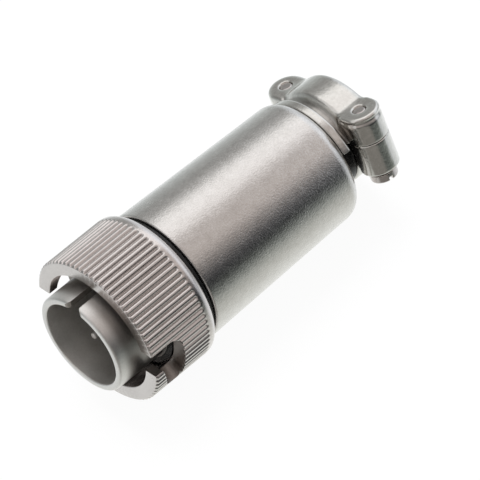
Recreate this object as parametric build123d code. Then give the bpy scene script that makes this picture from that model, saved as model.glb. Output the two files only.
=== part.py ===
"""Circular cable plug with a knurled bayonet coupling ring, a long back shell and a cable clamp.

Millimetres. The origin is the centre of the plug barrel's mating rim, +X runs along the axis to the
cable end, and +Z is up. The plug lies as it comes to rest, rolled onto one ear of its cable clamp.
Angles about the axis are counted from +Z towards +Y.
"""

import os
from math import cos, degrees, pi, radians, sin, sqrt

from build123d import *

# Plug barrel
BARREL_RADIUS = 8.2
BARREL_WALL = 1.3
BARREL_DEPTH = 9.9
RIM_CHAMFER = 0.25
KEYWAY_WIDTH = 1.85
KEYWAY_LENGTH = 8.0
KEYWAY_ANGLE = 4.0
KEYWAY_CORNER = 0.4
GASKET_SEAT_HEIGHT = 0.3
GASKET_SEAT_LEAD = 0.15
SHELL_FLANGE_HEIGHT = 1.3
SHELL_FLANGE_THICKNESS = 0.8
SHELL_THREAD_RELIEF = 0.1
SHELL_THREAD_LENGTH = 7.0
INSERT_BORE_STEP = 0.45

# Contact insert
CONTACT_COUNT = 5
CONTACT_MARGIN = 1.4
PIN_RADIUS = 0.5
PIN_SHOULDER = 0.3
PIN_TIP_DEPTH = 4.0
PIN_TIP_ROUND = 0.25
TAIL_RADIUS = 0.8
TAIL_LENGTH = 8.4
COLLAR_RADIUS = 1.1
COLLAR_LENGTH = 1.1
SOLDER_CUP_WALL = 0.25
SOLDER_CUP_DEPTH = 2.8
SOLDER_CUP_MOUTH = 1.96
FRONT_INSULATOR_LENGTH = 6.0
REAR_INSULATOR_LENGTH = 4.4
ISLAND_MARGIN = 1.5
ISLAND_HEIGHT = 0.8
ISLAND_ROUND = 0.27
INSERT_RING_WIDTH = 0.9
INSERT_RING_THICKNESS = 0.7
INSERT_RING_GAP = 2.4

# Coupling ring
RING_FRONT = 3.3
RING_WALL = 2.44
RING_GAP = 0.3
RING_FRONT_CHAMFER = 0.3
REAR_SKIRT_LENGTH = 1.75
LIP_DROP = 0.84
LIP_LENGTH = 1.25
LIP_ROUND = 0.8
KNURL_COUNT = 70
KNURL_DEPTH = 0.45
KNURL_CREST = 0.15
KNURL_ROOT = 0.08
KNURL_LAND = 0.6
WEB_THICKNESS = 3.0
SPIGOT_GAP = 0.2
SLOT_COUNT = 2
SLOT_WIDTH = 4.3
SLOT_DEPTH = 5.7
SLOT_ENTRY_ANGLE = -84.3
SLOT_LEG_WIDTH = 3.25
SLOT_LEG_SWEEP = 36.0
SLOT_CORNER = 1.9
SLOT_END_CORNER = 1.5
TONGUE_TIP_THICKNESS = 1.4
TONGUE_RAMP_LENGTH = 4.4

# Seals and washers about the coupling ring
GASKET_THICKNESS = 0.8
THRUST_WASHER_THICKNESS = 0.4
NECK_GAP = 1.12
NECK_SEAL_HEIGHT = 0.9
NECK_SEAL_GAP = 0.15
NECK_SEAL_ROUND = 0.3
SPIGOT_WALL = 1.5

# Back shell
SHELL_LENGTH = 30.43
SHELL_SHOULDER = 1.35
SHELL_TAPER = 0.75
SHELL_FRONT_ROUND = 0.3
SHELL_REAR_ROUND = 1.1
SHELL_WALL = 1.0
GLAND_WALL = 2.6
GLAND_LIP_HEIGHT = 1.4
GLAND_LIP_THICKNESS = 1.2
GLAND_BORE_LENGTH = 10.0
BORE_CHAMFER = 0.3

# Cable seal and clamp
CABLE_RADIUS = 3.9
CABLE_ROOM = 0.4
GROMMET_LENGTH = 3.8
GROMMET_WASHER_THICKNESS = 0.55
GROMMET_WASHER_ROOM = 0.5
NECK_WALL = 1.0
NECK_SLEEVE_WALL = 1.65
CLAMP_LENGTH = 5.25
CLAMP_ROLL = 21.0
PARTING_HEIGHT = 2.5
PARTING_GAP = 0.1
LOWER_ARCH_WALL = 1.4
UPPER_ARCH_RISE = 0.05
ARCH_EDGE_ROUND = 0.35
BUSH_SQUEEZE = 0.1
BUSH_WALL = 1.4
BUSH_LIP_THICKNESS = 0.5
BUSH_LIP_HEIGHT = 0.7
SADDLE_FLANGE_SETBACK = 0.75
SADDLE_FLANGE_THICKNESS = 1.35
SADDLE_FLANGE_ROUND = 0.18
SADDLE_FLANGE_LIFT = 0.4
SADDLE_GROOVE_DEPTH = 1.5
SADDLE_GROOVE_LENGTH = 1.8
EAR_OFFSET = 3.1
EAR_RADIUS = 3.0
EAR_FORWARD = 0.2
EAR_HEIGHT = 4.8
EAR_PLATE_OVERHANG = 0.05
EAR_PLATE_THICKNESS = 1.0
EAR_TOP_ROUND = 0.6
BOSS_BOTTOM = -3.0
BOSS_EDGE_ROUND = 0.25

# Clamp screws and lock washers
SCREW_RADIUS = 1.0
SCREW_END_DROP = 0.2
SCREW_TIP_CHAMFER = 0.2
SCREW_HOLE_CHAMFER = 0.2
HEAD_OVERHANG = 0.9
HEAD_HEIGHT = 1.35
HEAD_EDGE_ROUND = 0.3
HEAD_SLOT_WIDTH = 0.5
HEAD_SLOT_DEPTH = 0.65
HEAD_SLOT_ANGLES = (65.0, -10.0)
LOCK_WASHER_OVERHANG = 0.85
LOCK_WASHER_THICKNESS = 0.5
LOCK_WASHER_GAP = 0.35

# Clearances
RUNNING_CLEARANCE = 0.06
SEAT_CLEARANCE = 0.05
AXIAL_PLAY = 0.15
SCREW_HOLE_CLEARANCE = 0.15
THREAD_CLEARANCE = 0.03
CLEAR_CUT = 3.0
NEARLY = 0.001
FULL_ROUND_SHARE = 0.95

# Radii that follow from the sizes above
BARREL_BORE_RADIUS = BARREL_RADIUS - BARREL_WALL
GASKET_SEAT_RADIUS = BARREL_RADIUS + GASKET_SEAT_HEIGHT
SHELL_FLANGE_RADIUS = BARREL_RADIUS + SHELL_FLANGE_HEIGHT
SHELL_THREAD_RADIUS = BARREL_RADIUS - SHELL_THREAD_RELIEF
INSERT_BORE_RADIUS = BARREL_BORE_RADIUS + INSERT_BORE_STEP
ISLAND_RADIUS = BARREL_BORE_RADIUS - ISLAND_MARGIN
CONTACT_CIRCLE_RADIUS = ISLAND_RADIUS - CONTACT_MARGIN
PIN_SHANK_RADIUS = PIN_RADIUS + PIN_SHOULDER
RING_BORE_RADIUS = SHELL_FLANGE_RADIUS + RING_GAP
RING_RADIUS = RING_BORE_RADIUS + RING_WALL
SPIGOT_RADIUS = SHELL_THREAD_RADIUS + SPIGOT_WALL
NECK_SEAL_RADIUS = SPIGOT_RADIUS + NECK_SEAL_HEIGHT
SHELL_FRONT_RADIUS = SPIGOT_RADIUS + SHELL_SHOULDER
SHELL_REAR_RADIUS = SHELL_FRONT_RADIUS - SHELL_TAPER
WIRING_BORE_RADIUS = SHELL_REAR_RADIUS - SHELL_WALL
GLAND_BORE_RADIUS = SHELL_REAR_RADIUS - GLAND_WALL
NECK_BORE_RADIUS = CABLE_RADIUS + CABLE_ROOM
NECK_RADIUS = NECK_BORE_RADIUS + NECK_WALL
NECK_SLEEVE_BORE = NECK_RADIUS + SEAT_CLEARANCE
NECK_SLEEVE_RADIUS = NECK_SLEEVE_BORE + NECK_SLEEVE_WALL
BUSH_BORE_RADIUS = CABLE_RADIUS - BUSH_SQUEEZE
BUSH_RADIUS = BUSH_BORE_RADIUS + BUSH_WALL
BUSH_LIP_RADIUS = BUSH_RADIUS - BUSH_LIP_HEIGHT
LOWER_ARCH_RADIUS = BUSH_RADIUS + LOWER_ARCH_WALL
SADDLE_FLANGE_RADIUS = SHELL_REAR_RADIUS - SADDLE_FLANGE_SETBACK
UPPER_ARCH_RADIUS = SADDLE_FLANGE_RADIUS + UPPER_ARCH_RISE
SADDLE_GROOVE_RADIUS = SADDLE_FLANGE_RADIUS - SADDLE_GROOVE_DEPTH
EAR_SIDE = BUSH_RADIUS + EAR_OFFSET
EAR_PLATE_RADIUS = EAR_RADIUS + EAR_PLATE_OVERHANG
HEAD_RADIUS = SCREW_RADIUS + HEAD_OVERHANG
LOCK_WASHER_RADIUS = SCREW_RADIUS + LOCK_WASHER_OVERHANG

# Places along the axis, and heights in the clamp, that follow from the sizes above
GASKET_FRONT = BARREL_DEPTH - GASKET_THICKNESS - SEAT_CLEARANCE
GASKET_SEAT_FRONT = GASKET_FRONT - GASKET_SEAT_LEAD
FLANGE_REAR = BARREL_DEPTH + SHELL_FLANGE_THICKNESS
INSERT_FRONT = BARREL_DEPTH + SEAT_CLEARANCE
ISLAND_FRONT = INSERT_FRONT - ISLAND_HEIGHT
FRONT_INSULATOR_REAR = BARREL_DEPTH + FRONT_INSULATOR_LENGTH
REAR_INSULATOR_FRONT = FRONT_INSULATOR_REAR + SEAT_CLEARANCE
REAR_INSULATOR_REAR = REAR_INSULATOR_FRONT + REAR_INSULATOR_LENGTH
WEB_FRONT = FLANGE_REAR + AXIAL_PLAY
WEB_REAR = WEB_FRONT + WEB_THICKNESS
RING_REAR = WEB_REAR + REAR_SKIRT_LENGTH
LIP_FRONT = RING_REAR - LIP_LENGTH
SLOT_REAR = RING_FRONT + SLOT_DEPTH
SLOT_LEG_FRONT = SLOT_REAR - SLOT_LEG_WIDTH
WASHER_FRONT = WEB_REAR + AXIAL_PLAY
SPIGOT_FRONT = WASHER_FRONT + THRUST_WASHER_THICKNESS + SEAT_CLEARANCE
BARREL_REAR = SPIGOT_FRONT + SHELL_THREAD_LENGTH
SHELL_FRONT = RING_REAR + NECK_GAP
SHELL_REAR = SHELL_FRONT + SHELL_LENGTH
GLAND_BORE_FRONT = SHELL_REAR - GLAND_BORE_LENGTH
WIRING_BORE_REAR = GLAND_BORE_FRONT - GLAND_LIP_THICKNESS
GROMMET_REAR = GLAND_BORE_FRONT + SEAT_CLEARANCE + GROMMET_LENGTH
GROMMET_WASHER_REAR = GROMMET_REAR + SEAT_CLEARANCE + GROMMET_WASHER_THICKNESS
GLAND_NUT_FRONT = GROMMET_WASHER_REAR + SEAT_CLEARANCE
SADDLE_FRONT = SHELL_REAR + AXIAL_PLAY
SADDLE_FLANGE_REAR = SADDLE_FRONT + SADDLE_FLANGE_THICKNESS
CLAMP_FRONT = SADDLE_FLANGE_REAR + SADDLE_GROOVE_LENGTH
CLAMP_REAR = CLAMP_FRONT + CLAMP_LENGTH
BUSH_LIP_FRONT = CLAMP_REAR - BUSH_LIP_THICKNESS
SADDLE_STEP = CLAMP_FRONT + 2 * SEAT_CLEARANCE
EAR_CENTRE_X = (CLAMP_FRONT + CLAMP_REAR) / 2 - EAR_FORWARD
LOWER_HALF_TOP = PARTING_HEIGHT - PARTING_GAP / 2
UPPER_HALF_BOTTOM = PARTING_HEIGHT + PARTING_GAP / 2
EAR_TOP = PARTING_HEIGHT + EAR_HEIGHT
SCREW_END = EAR_TOP - SCREW_END_DROP
HEAD_TOP = BOSS_BOTTOM - LOCK_WASHER_THICKNESS - 2 * SEAT_CLEARANCE
CLAMP_TURN = Rot(-CLAMP_ROLL, 0, 0)


def turned(points, rounds=()):
    """Turn a closed outline of (x, radius) points about the axis; rounds lists (corner point, radius)."""
    outline = make_face(Polyline(*points, close=True))
    for corner, radius in rounds:
        nearest = outline.vertices().sort_by_distance(Vector(*corner))[0]
        outline = fillet(nearest, radius)
    return revolve(Plane.XZ * outline, Axis.X)


def sleeve(front, rear, inner, outer, outer_round=0):
    """A turned ring between two places on the axis, with its outer corners rounded where asked."""
    corners = [(rear, outer), (front, outer)]
    rounds = [(corner, outer_round) for corner in corners] if outer_round else []
    return turned([(front, inner), (rear, inner), *corners], rounds)


def turned_by(angle):
    """Turn about the axis by an angle from +Z towards +Y."""
    return Rot(-angle, 0, 0)


def radial_block(front, rear, width, inner, outer, angle):
    """A block across the wall of a ring, with its sides parallel to the radius at the angle."""
    block = Box(rear - front, width, outer - inner)
    return turned_by(angle) * Pos((front + rear) / 2, 0, (inner + outer) / 2) * block


def sector(front, rear, inner, outer, start, sweep, corner):
    """A cutter that runs part of the way round the axis, with rounded corners at its far end."""
    corners = [(front, inner), (rear, inner), (rear, outer), (front, outer)]
    outline = make_face(Polyline(*corners, close=True))
    body = revolve(Plane.XZ * outline, Axis.X, sweep)
    middle = (inner + outer) / 2
    far_side = Vector(0, -sin(radians(sweep)) * middle, cos(radians(sweep)) * middle)
    end = body.faces().filter_by(GeomType.PLANE).sort_by_distance(far_side)[0]
    edges = end.edges().filter_by(lambda edge: abs(edge.tangent_at(0.5).X) < NEARLY)
    return turned_by(start) * fillet(edges, corner)


def contact_places():
    """Places of the contacts, with one in line with the keyway."""
    return [turned_by(KEYWAY_ANGLE + number * 360 / CONTACT_COUNT) * Pos(0, 0, CONTACT_CIRCLE_RADIUS)
            for number in range(CONTACT_COUNT)]


def rod(front, rear, radius):
    """A cylinder along +X."""
    return Pos((front + rear) / 2, 0, 0) * Rot(0, 90, 0) * Cylinder(radius, rear - front)


def keyway():
    """The key slot through the barrel's wall, flared at the rim and round at its blind end."""
    half = KEYWAY_WIDTH / 2
    flare = half + KEYWAY_CORNER
    outline = make_face(
        Polyline((-CLEAR_CUT, -flare), (0, -flare), (0, -half), (KEYWAY_LENGTH, -half),
                 (KEYWAY_LENGTH, half), (0, half), (0, flare), (-CLEAR_CUT, flare), close=True)
    )
    mouth = [v for v in outline.vertices() if abs(v.X) < NEARLY and abs(abs(v.Y) - half) < NEARLY]
    outline = fillet(mouth, KEYWAY_CORNER * FULL_ROUND_SHARE)
    blind_end = [v for v in outline.vertices() if abs(v.X - KEYWAY_LENGTH) < NEARLY]
    outline = fillet(blind_end, half * FULL_ROUND_SHARE)
    return turned_by(KEYWAY_ANGLE) * extrude(outline, BARREL_RADIUS + CLEAR_CUT)


def plug_shell():
    """Front shell: mating barrel with its keyway, seal flange, bearing for the ring and rear thread."""
    body = turned(
        [
            (0, BARREL_BORE_RADIUS + RIM_CHAMFER),
            (RIM_CHAMFER, BARREL_BORE_RADIUS),
            (BARREL_DEPTH, BARREL_BORE_RADIUS),
            (BARREL_DEPTH, INSERT_BORE_RADIUS),
            (BARREL_REAR, INSERT_BORE_RADIUS),
            (BARREL_REAR, SHELL_THREAD_RADIUS),
            (SPIGOT_FRONT, SHELL_THREAD_RADIUS),
            (SPIGOT_FRONT, BARREL_RADIUS),
            (FLANGE_REAR, BARREL_RADIUS),
            (FLANGE_REAR, SHELL_FLANGE_RADIUS),
            (BARREL_DEPTH, SHELL_FLANGE_RADIUS),
            (BARREL_DEPTH, GASKET_SEAT_RADIUS),
            (GASKET_SEAT_FRONT, GASKET_SEAT_RADIUS),
            (GASKET_SEAT_FRONT, BARREL_RADIUS),
            (RIM_CHAMFER, BARREL_RADIUS),
            (0, BARREL_RADIUS - RIM_CHAMFER),
        ]
    )
    return body - keyway()


def front_insulator():
    """Insulator that carries the pins, with a raised island on its mating face."""
    radius = INSERT_BORE_RADIUS - SEAT_CLEARANCE
    island_edge = (ISLAND_FRONT, ISLAND_RADIUS)
    body = turned(
        [
            (ISLAND_FRONT, 0),
            (FRONT_INSULATOR_REAR, 0),
            (FRONT_INSULATOR_REAR, radius),
            (INSERT_FRONT, radius),
            (INSERT_FRONT, ISLAND_RADIUS),
            island_edge,
        ],
        rounds=[(island_edge, ISLAND_ROUND)],
    )
    collar_front = FRONT_INSULATOR_REAR - COLLAR_LENGTH
    hole = rod(ISLAND_FRONT - CLEAR_CUT, FRONT_INSULATOR_REAR, PIN_SHANK_RADIUS + SEAT_CLEARANCE)
    seat = rod(collar_front, FRONT_INSULATOR_REAR + CLEAR_CUT, COLLAR_RADIUS + SEAT_CLEARANCE)
    return body - [place * (hole + seat) for place in contact_places()]


def rear_insulator():
    """Insulator that locks the contacts from behind."""
    body = rod(REAR_INSULATOR_FRONT, REAR_INSULATOR_REAR, INSERT_BORE_RADIUS - SEAT_CLEARANCE)
    hole_radius = TAIL_RADIUS + SEAT_CLEARANCE
    hole = rod(REAR_INSULATOR_FRONT - CLEAR_CUT, REAR_INSULATOR_REAR + CLEAR_CUT, hole_radius)
    return body - [place * hole for place in contact_places()]


def contact_pin():
    """Turned contact: mating pin, thicker shank, collar and a tail with an open solder cup."""
    collar_front = FRONT_INSULATOR_REAR - COLLAR_LENGTH + SEAT_CLEARANCE
    tail_end = FRONT_INSULATOR_REAR + TAIL_LENGTH
    tip_edge = (PIN_TIP_DEPTH, PIN_RADIUS)
    body = turned(
        [
            (PIN_TIP_DEPTH, 0),
            (tail_end, 0),
            (tail_end, TAIL_RADIUS),
            (FRONT_INSULATOR_REAR, TAIL_RADIUS),
            (FRONT_INSULATOR_REAR, COLLAR_RADIUS),
            (collar_front, COLLAR_RADIUS),
            (collar_front, PIN_SHANK_RADIUS),
            (ISLAND_FRONT, PIN_SHANK_RADIUS),
            (ISLAND_FRONT, PIN_RADIUS),
            tip_edge,
        ],
        rounds=[(tip_edge, PIN_TIP_ROUND)],
    )
    cup = rod(tail_end - SOLDER_CUP_DEPTH, tail_end + CLEAR_CUT, TAIL_RADIUS - SOLDER_CUP_WALL)
    mouth_middle = tail_end + (CLEAR_CUT - SOLDER_CUP_MOUTH) / 2
    mouth = Pos(mouth_middle, 0, TAIL_RADIUS) * Box(
        SOLDER_CUP_MOUTH + CLEAR_CUT, 2 * TAIL_RADIUS, 2 * TAIL_RADIUS
    )
    return body - cup - mouth


def insert_retaining_ring():
    """Open spring ring that holds the insulators in the barrel."""
    front = REAR_INSULATOR_REAR + SEAT_CLEARANCE
    outer = INSERT_BORE_RADIUS - SEAT_CLEARANCE
    ring = sleeve(front, front + INSERT_RING_THICKNESS, outer - INSERT_RING_WIDTH, outer)
    gap = radial_block(front - CLEAR_CUT, front + CLEAR_CUT, INSERT_RING_GAP, 0, outer + CLEAR_CUT, 180)
    return ring - gap


def knurl_groove():
    """One straight V-shaped knurl groove, with its floor running out at the rear."""
    rear = LIP_FRONT - KNURL_LAND
    front = RING_FRONT - CLEAR_CUT
    pitch = 2 * pi * RING_RADIUS / KNURL_COUNT
    mouth = pitch - KNURL_CREST
    flank = (mouth - KNURL_ROOT) / 2 / KNURL_DEPTH
    floor = RING_RADIUS - KNURL_DEPTH
    top = RING_RADIUS + KNURL_DEPTH
    top_half = KNURL_ROOT / 2 + flank * (top - floor)
    section = Plane.YZ.offset(front) * make_face(
        Polyline((-KNURL_ROOT / 2, floor), (KNURL_ROOT / 2, floor), (top_half, top), (-top_half, top),
                 close=True)
    )
    prism = extrude(section, rear - front)
    run_out = Plane(origin=(rear, 0, RING_RADIUS), z_dir=(1, 0, -1))
    return split(prism, bisect_by=run_out, keep=Keep.BOTTOM)


def bayonet_slot():
    """One L-shaped bayonet slot, open at the front face: entry, ramp under the tongue and locking leg."""
    inner = BARREL_RADIUS + SEAT_CLEARANCE
    outer = RING_RADIUS + CLEAR_CUT
    entry = radial_block(RING_FRONT - CLEAR_CUT, SLOT_REAR, SLOT_WIDTH, inner, outer, SLOT_ENTRY_ANGLE)
    wall = outer - inner
    rear_edges = entry.edges().filter_by(
        lambda edge: abs(edge.center().X - SLOT_REAR) < NEARLY and abs(edge.length - wall) < NEARLY
    )
    straight_side = sorted(rear_edges, key=lambda edge: edge.center().Z)[-1]
    entry = fillet(straight_side, min(SLOT_CORNER, SLOT_WIDTH / 2 * FULL_ROUND_SHARE))
    leg = sector(SLOT_LEG_FRONT, SLOT_REAR, inner, outer, SLOT_ENTRY_ANGLE, SLOT_LEG_SWEEP,
                 min(SLOT_END_CORNER, SLOT_LEG_WIDTH / 2 * FULL_ROUND_SHARE))
    ramp_angle = SLOT_ENTRY_ANGLE - degrees(SLOT_WIDTH / 2 / RING_RADIUS)
    tip = RING_FRONT + TONGUE_TIP_THICKNESS
    overlap = SLOT_LEG_WIDTH / 3
    ramp_outline = make_face(
        Polyline((tip, overlap), (tip, 0), (SLOT_LEG_FRONT, -TONGUE_RAMP_LENGTH),
                 (SLOT_LEG_FRONT + overlap, -TONGUE_RAMP_LENGTH), (SLOT_LEG_FRONT + overlap, overlap),
                 close=True)
    )
    ramp = turned_by(ramp_angle) * Pos(0, 0, inner) * extrude(ramp_outline, wall)
    return entry + leg + ramp


def coupling_ring():
    """Knurled bayonet coupling ring, one turned and milled piece."""
    lip_edge = (LIP_FRONT, RING_RADIUS)
    bearing = BARREL_RADIUS + RUNNING_CLEARANCE
    recess = SPIGOT_RADIUS + SPIGOT_GAP
    body = turned(
        [
            (RING_FRONT, RING_BORE_RADIUS),
            (WEB_FRONT, RING_BORE_RADIUS),
            (WEB_FRONT, bearing),
            (WEB_REAR, bearing),
            (WEB_REAR, recess),
            (RING_REAR, recess),
            (RING_REAR, RING_RADIUS - LIP_DROP),
            lip_edge,
            (RING_FRONT + RING_FRONT_CHAMFER, RING_RADIUS),
            (RING_FRONT, RING_RADIUS - RING_FRONT_CHAMFER),
        ],
        rounds=[(lip_edge, LIP_ROUND)],
    )
    groove = knurl_groove()
    body = body - [turned_by(number * 360 / KNURL_COUNT) * groove for number in range(KNURL_COUNT)]
    slot = bayonet_slot()
    return body - [turned_by(number * 360 / SLOT_COUNT) * slot for number in range(SLOT_COUNT)]


def interface_gasket():
    """Flat rubber gasket at the bottom of the gap round the barrel."""
    return sleeve(GASKET_FRONT, GASKET_FRONT + GASKET_THICKNESS, GASKET_SEAT_RADIUS + SEAT_CLEARANCE,
                  SHELL_FLANGE_RADIUS - SEAT_CLEARANCE)


def thrust_washer():
    """Thin washer that the ring turns against."""
    return sleeve(WASHER_FRONT, WASHER_FRONT + THRUST_WASHER_THICKNESS,
                  BARREL_RADIUS + SEAT_CLEARANCE, SPIGOT_RADIUS)


def neck_seal_ring():
    """Black rubber ring in the gap between the coupling ring and the back shell."""
    return sleeve(RING_REAR + NECK_SEAL_GAP, SHELL_FRONT - SEAT_CLEARANCE, SPIGOT_RADIUS + SEAT_CLEARANCE,
                  NECK_SEAL_RADIUS, NECK_SEAL_ROUND)


def back_shell():
    """Long tapered back shell: front spigot and thread, wiring space, gland lip and rear thread bore."""
    thread_bore = SHELL_THREAD_RADIUS + SEAT_CLEARANCE
    neck_step = WIRING_BORE_RADIUS - thread_bore
    rear_edge = (SHELL_REAR, SHELL_REAR_RADIUS)
    front_edge = (SHELL_FRONT, SHELL_FRONT_RADIUS)
    return turned(
        [
            (SPIGOT_FRONT, thread_bore),
            (BARREL_REAR, thread_bore),
            (BARREL_REAR + neck_step, WIRING_BORE_RADIUS),
            (WIRING_BORE_REAR, WIRING_BORE_RADIUS),
            (WIRING_BORE_REAR, GLAND_BORE_RADIUS - GLAND_LIP_HEIGHT),
            (GLAND_BORE_FRONT, GLAND_BORE_RADIUS - GLAND_LIP_HEIGHT),
            (GLAND_BORE_FRONT, GLAND_BORE_RADIUS),
            (SHELL_REAR - BORE_CHAMFER, GLAND_BORE_RADIUS),
            (SHELL_REAR, GLAND_BORE_RADIUS + BORE_CHAMFER),
            rear_edge,
            front_edge,
            (SHELL_FRONT, SPIGOT_RADIUS),
            (SPIGOT_FRONT, SPIGOT_RADIUS),
        ],
        rounds=[(rear_edge, SHELL_REAR_ROUND), (front_edge, SHELL_FRONT_ROUND)],
    )


def cable_grommet():
    """Rubber grommet squeezed on the cable by the gland nut."""
    return sleeve(GLAND_BORE_FRONT + SEAT_CLEARANCE, GROMMET_REAR, CABLE_RADIUS,
                  GLAND_BORE_RADIUS - SEAT_CLEARANCE)


def grommet_washer():
    """Metal washer between the grommet and the gland nut."""
    return sleeve(GROMMET_REAR + SEAT_CLEARANCE, GROMMET_WASHER_REAR, CABLE_RADIUS + GROMMET_WASHER_ROOM,
                  GLAND_BORE_RADIUS - SEAT_CLEARANCE)


def neck_sleeve():
    """Black rubber sleeve on the clamp's neck, behind the back shell."""
    return sleeve(SHELL_REAR + SEAT_CLEARANCE, CLAMP_FRONT - SEAT_CLEARANCE,
                  NECK_SLEEVE_BORE, NECK_SLEEVE_RADIUS)


def ear_rod(radius, bottom, top, side):
    """A cylinder along the clamp's up direction at one ear."""
    return Pos(EAR_CENTRE_X, side * EAR_SIDE, (bottom + top) / 2) * Cylinder(radius, top - bottom)


def slab(bottom, top):
    """A block between two heights above the axis, wider than the clamp."""
    reach = 2 * (EAR_SIDE + EAR_PLATE_RADIUS + CLEAR_CUT)
    return Pos(EAR_CENTRE_X, 0, (bottom + top) / 2) * Box(reach, reach, top - bottom)


def clamp_body():
    """Gland nut, neck and lower half of the cable clamp, cast in one piece."""
    top = LOWER_HALF_TOP
    nut_edge = (SHELL_REAR, GLAND_BORE_RADIUS - SEAT_CLEARANCE)
    gland = turned(
        [
            (GLAND_NUT_FRONT, NECK_BORE_RADIUS),
            (CLAMP_FRONT + SEAT_CLEARANCE, NECK_BORE_RADIUS),
            (CLAMP_FRONT + SEAT_CLEARANCE, NECK_RADIUS),
            (SHELL_REAR, NECK_RADIUS),
            nut_edge,
            (GLAND_NUT_FRONT, GLAND_BORE_RADIUS - SEAT_CLEARANCE),
        ],
        rounds=[(nut_edge, BORE_CHAMFER)],
    )
    arch_edges = [(CLAMP_REAR, LOWER_ARCH_RADIUS), (CLAMP_FRONT, LOWER_ARCH_RADIUS)]
    arch = turned([(CLAMP_FRONT, 0), (CLAMP_REAR, 0), *arch_edges],
                  rounds=[(edge, ARCH_EDGE_ROUND) for edge in arch_edges])
    half = arch & slab(-2 * LOWER_ARCH_RADIUS, top)
    bar_bottom = BOSS_BOTTOM + EAR_RADIUS / 2
    bar_middle = (CLAMP_FRONT + CLAMP_REAR) / 2
    bar = Pos(bar_middle, 0, (bar_bottom + top) / 2) * Box(CLAMP_LENGTH, 2 * EAR_SIDE, top - bar_bottom)
    body = half + bar
    for side in (-1, 1):
        boss = ear_rod(EAR_RADIUS, BOSS_BOTTOM, top, side)
        boss = fillet(boss.edges().group_by(Axis.Z)[0], BOSS_EDGE_ROUND)
        body = body + boss
    body = body - clamp_cavity() - neck_space(CLAMP_FRONT)
    body = body + gland
    hole = SCREW_RADIUS + SCREW_HOLE_CLEARANCE
    for side in (-1, 1):
        body = body - ear_rod(hole, BOSS_BOTTOM - CLEAR_CUT, top + CLEAR_CUT, side)
    return CLAMP_TURN * body


def clamp_cavity():
    """The seat of the rubber bush and the outlet behind it."""
    front = CLAMP_FRONT - CLEAR_CUT / 2
    rear = CLAMP_REAR + CLEAR_CUT / 2
    return turned(
        [
            (front, 0),
            (rear, 0),
            (rear, BUSH_LIP_RADIUS),
            (BUSH_LIP_FRONT, BUSH_LIP_RADIUS),
            (BUSH_LIP_FRONT, BUSH_RADIUS),
            (front, BUSH_RADIUS),
        ]
    )


def neck_space(rear):
    """The room of the sleeved neck, up to a place on the axis."""
    return rod(SADDLE_FRONT - CLEAR_CUT, rear, NECK_SLEEVE_RADIUS + SEAT_CLEARANCE)


def saddle_ear(side):
    """One ear: a round boss with a flat web to the arch, under a plate with a rounded upper edge."""
    plate_bottom = EAR_TOP - EAR_PLATE_THICKNESS
    inner = sqrt(UPPER_ARCH_RADIUS ** 2 - EAR_TOP ** 2)
    web_length = EAR_SIDE - inner
    web_middle = side * (inner + EAR_SIDE) / 2
    web_height = plate_bottom - UPPER_HALF_BOTTOM
    web = Pos(EAR_CENTRE_X, web_middle, UPPER_HALF_BOTTOM + web_height / 2) * Box(
        2 * EAR_RADIUS, web_length, web_height
    )
    boss = ear_rod(EAR_RADIUS, UPPER_HALF_BOTTOM, plate_bottom, side) + web
    plate = Pos(EAR_CENTRE_X, web_middle, EAR_TOP - EAR_PLATE_THICKNESS / 2) * Box(
        2 * EAR_PLATE_RADIUS, web_length, EAR_PLATE_THICKNESS
    )
    plate = plate + ear_rod(EAR_PLATE_RADIUS, plate_bottom, EAR_TOP, side)
    plate = fillet(plate.edges().group_by(Axis.Z)[-1], EAR_TOP_ROUND)
    return boss + plate - clamp_cavity() - neck_space(SADDLE_STEP)


def clamp_saddle():
    """Upper half of the cable clamp: half flange, round groove, arch and two ears."""
    bore = NECK_SLEEVE_RADIUS + SEAT_CLEARANCE
    arch_edges = [(CLAMP_REAR, UPPER_ARCH_RADIUS), (CLAMP_FRONT, UPPER_ARCH_RADIUS)]
    groove_corners = [(CLAMP_FRONT, SADDLE_GROOVE_RADIUS), (SADDLE_FLANGE_REAR, SADDLE_GROOVE_RADIUS)]
    flange_edges = [(SADDLE_FLANGE_REAR, SADDLE_FLANGE_RADIUS), (SADDLE_FRONT, SADDLE_FLANGE_RADIUS)]
    arch = turned(
        [
            (SADDLE_FRONT, bore),
            (SADDLE_STEP, bore),
            (SADDLE_STEP, BUSH_RADIUS),
            (BUSH_LIP_FRONT, BUSH_RADIUS),
            (BUSH_LIP_FRONT, BUSH_LIP_RADIUS),
            (CLAMP_REAR, BUSH_LIP_RADIUS),
            *arch_edges,
            *groove_corners,
            *flange_edges,
        ],
        rounds=[
            *[(edge, ARCH_EDGE_ROUND) for edge in arch_edges],
            *[(corner, SADDLE_GROOVE_LENGTH / 2 * FULL_ROUND_SHARE) for corner in groove_corners],
            *[(edge, SADDLE_FLANGE_ROUND) for edge in flange_edges],
        ],
    )
    body = arch & slab(UPPER_HALF_BOTTOM, 2 * UPPER_ARCH_RADIUS)
    flange_bottom = UPPER_HALF_BOTTOM + SADDLE_FLANGE_LIFT
    around_neck = rod(SADDLE_FRONT - CLEAR_CUT, CLAMP_FRONT, UPPER_ARCH_RADIUS + CLEAR_CUT)
    body = body - (around_neck & slab(0, flange_bottom))
    for side in (-1, 1):
        body = body + saddle_ear(side)
    hole = SCREW_RADIUS + THREAD_CLEARANCE
    for side in (-1, 1):
        body = body - ear_rod(hole, UPPER_HALF_BOTTOM - CLEAR_CUT, EAR_TOP + CLEAR_CUT, side)
        mouth = Cone(hole, hole + SCREW_HOLE_CHAMFER, SCREW_HOLE_CHAMFER)
        body = body - Pos(EAR_CENTRE_X, side * EAR_SIDE, EAR_TOP - SCREW_HOLE_CHAMFER / 2) * mouth
    return CLAMP_TURN * body


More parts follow.
